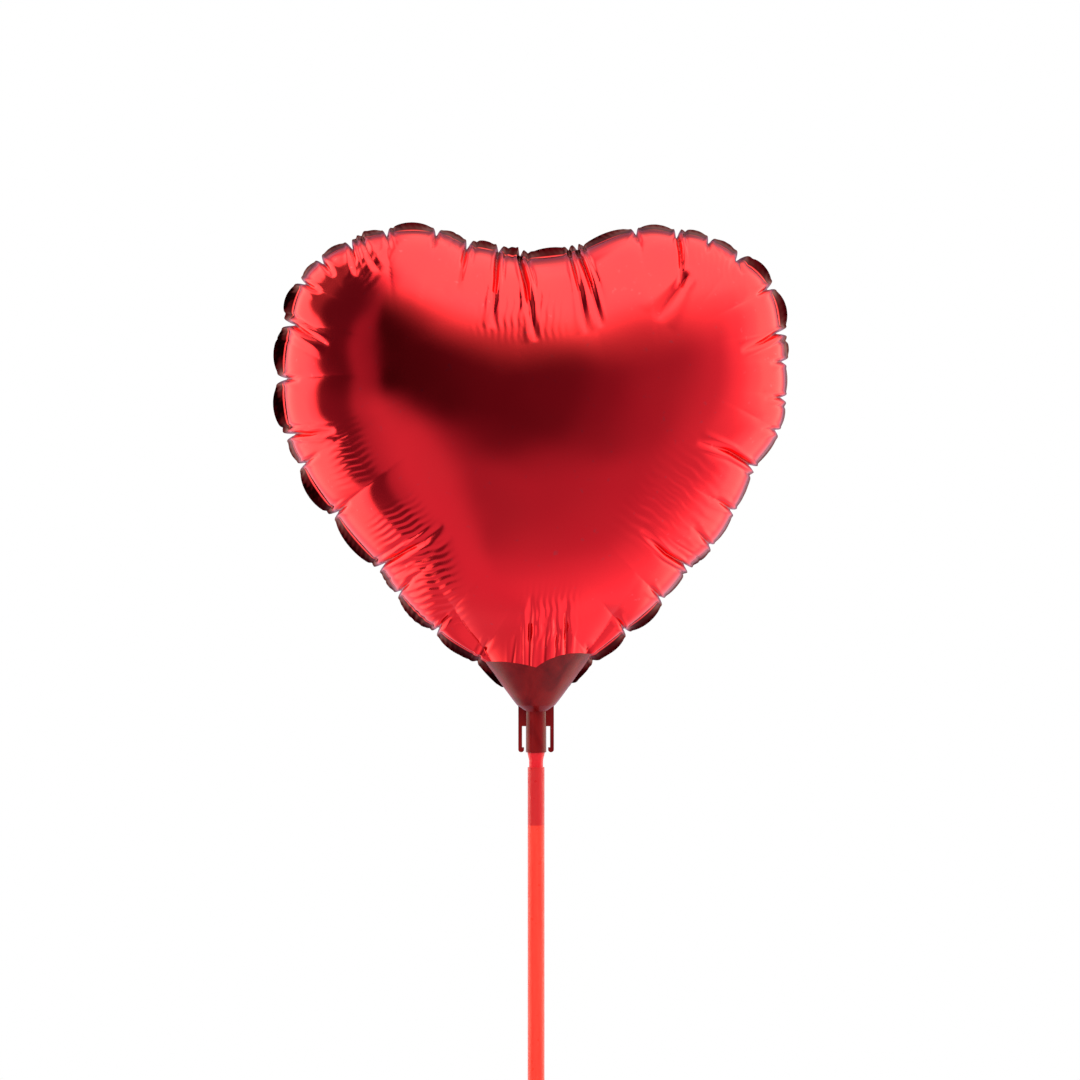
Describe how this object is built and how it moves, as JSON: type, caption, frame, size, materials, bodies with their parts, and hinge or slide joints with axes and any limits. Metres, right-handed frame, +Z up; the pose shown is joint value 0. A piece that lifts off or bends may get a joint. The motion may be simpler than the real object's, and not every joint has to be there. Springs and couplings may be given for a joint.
{
  "type": "heart foil balloon on a stick",
  "caption": "Heart-shaped red foil balloon seated in a petal cup on a hollow plastic stick, held in the hand as a party decoration.",
  "frame": {"origin": "centre of the stick's lower end", "axes": "+Z up the stick to the balloon; the balloon's front faces -Y, and +X is to the right as it is seen from the front"},
  "size_m": [0.1842, 0.0876, 0.5139],
  "materials": {
    "stick": "gloss",
    "peg": "gloss",
    "cup": "gloss",
    "foil": "polished",
    "valve_film": "gloss"
  },
  "bodies": {
    "stick": {"stick_tube": "stick"},
    "peg": {"connector_peg": "peg"},
    "cup": {"petal_cup": "cup"},
    "tail": {"foil_tail": "foil"},
    "balloon": {"front_foil_panel": "foil", "back_foil_panel": "foil", "valve_front_film": "valve_film", "valve_back_film": "valve_film"}
  },
  "joints": [
    {"name": "peg_slide", "type": "slide", "parent": "stick", "child": "peg", "axis": [0, 0, 1], "range_m": [-0.0023, 0.025]},
    {"name": "cup_swivel", "type": "hinge", "parent": "peg", "child": "cup", "pos_m": [0, 0, 0.3254], "axis": [0, 0, 1], "continuous": true},
    {"name": "tail_lift", "type": "slide", "parent": "cup", "child": "tail", "axis": [0, 0, 1], "range_m": [0, 0.03]},
    {"name": "balloon_nod", "type": "hinge", "parent": "tail", "child": "balloon", "pos_m": [0, 0, 0.345], "axis": [1, 0, 0], "range_deg": [-10, 10], "stiffness_Nm_per_rad": 0.05}
  ]
}
